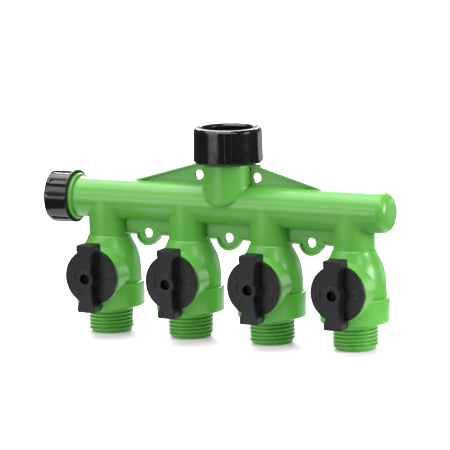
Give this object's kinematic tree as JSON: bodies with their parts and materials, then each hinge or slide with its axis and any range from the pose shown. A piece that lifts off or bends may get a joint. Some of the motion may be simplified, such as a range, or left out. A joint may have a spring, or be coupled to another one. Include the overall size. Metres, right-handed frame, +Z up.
{
  "type": "hose splitter",
  "caption": "Garden hose manifold: a swivel inlet nut on a horizontal pipe feeds a row of outlets, each with a quarter-turn ball valve and a male hose thread.",
  "frame": {"origin": "centre of the inlet's sealing face: the top of the washer inside the swivel nut", "axes": "+Z up the inlet's axis, the way the tap comes in; +X along the pipe towards its closed end; the handles face -Y"},
  "size_m": [0.2206, 0.0535, 0.1264],
  "materials": {
    "body_green": "semi-gloss",
    "nut_black": "gloss",
    "handle_black": "satin",
    "seal_rubber": "matte",
    "seat_white": "waxy",
    "ball_grey": "polished",
    "stem_black": "satin",
    "screw_steel": "blackened"
  },
  "bodies": {
    "manifold": {"manifold_body": "body_green", "inlet_washer": "seal_rubber", "outlet_nozzle_1": "body_green", "nozzle_o_ring_1": "seal_rubber", "upper_seat_1": "seat_white", "lower_seat_1": "seat_white", "outlet_nozzle_2": "body_green", "nozzle_o_ring_2": "seal_rubber", "upper_seat_2": "seat_white", "lower_seat_2": "seat_white", "outlet_nozzle_3": "body_green", "nozzle_o_ring_3": "seal_rubber", "upper_seat_3": "seat_white", "lower_seat_3": "seat_white", "outlet_nozzle_4": "body_green", "nozzle_o_ring_4": "seal_rubber", "upper_seat_4": "seat_white", "lower_seat_4": "seat_white"},
    "swivel_nut": {"inlet_nut": "nut_black"},
    "cap_seal": {"cap_washer": "seal_rubber"},
    "screw_cap": {"end_cap": "nut_black"},
    "valve_1": {"handle_1": "handle_black", "handle_screw_1": "screw_steel", "stem_1": "stem_black", "stem_o_ring_1": "seal_rubber", "ball_1": "ball_grey"},
    "valve_2": {"handle_2": "handle_black", "handle_screw_2": "screw_steel", "stem_2": "stem_black", "stem_o_ring_2": "seal_rubber", "ball_2": "ball_grey"},
    "valve_3": {"handle_3": "handle_black", "handle_screw_3": "screw_steel", "stem_3": "stem_black", "stem_o_ring_3": "seal_rubber", "ball_3": "ball_grey"},
    "valve_4": {"handle_4": "handle_black", "handle_screw_4": "screw_steel", "stem_4": "stem_black", "stem_o_ring_4": "seal_rubber", "ball_4": "ball_grey"}
  },
  "joints": [
    {"name": "nut_swivel", "type": "hinge", "parent": "manifold", "child": "swivel_nut", "pos_m": [0, 0, 0], "axis": [0, 0, 1], "continuous": true},
    {"name": "cap_travel", "type": "slide", "parent": "manifold", "child": "cap_seal", "axis": [-1, 0, 0], "range_m": [0, 0.012]},
    {"name": "cap_turn", "type": "hinge", "parent": "cap_seal", "child": "screw_cap", "pos_m": [-0.109, 0, -0.0335], "axis": [-1, 0, 0], "range_deg": [0, 1955]},
    {"name": "valve_1_turn", "type": "hinge", "parent": "manifold", "child": "valve_1", "pos_m": [-0.0801, 0, -0.0779], "axis": [0, 1, 0], "range_deg": [0, 90]},
    {"name": "valve_2_turn", "type": "hinge", "parent": "manifold", "child": "valve_2", "pos_m": [-0.0267, 0, -0.0779], "axis": [0, 1, 0], "range_deg": [0, 90]},
    {"name": "valve_3_turn", "type": "hinge", "parent": "manifold", "child": "valve_3", "pos_m": [0.0267, 0, -0.0779], "axis": [0, 1, 0], "range_deg": [0, 90]},
    {"name": "valve_4_turn", "type": "hinge", "parent": "manifold", "child": "valve_4", "pos_m": [0.0801, 0, -0.0779], "axis": [0, 1, 0], "range_deg": [0, 90]}
  ],
  "couplings": [
    {"joint": "cap_travel", "follows": "cap_turn", "m_per_rad": 0.00035152}
  ]
}
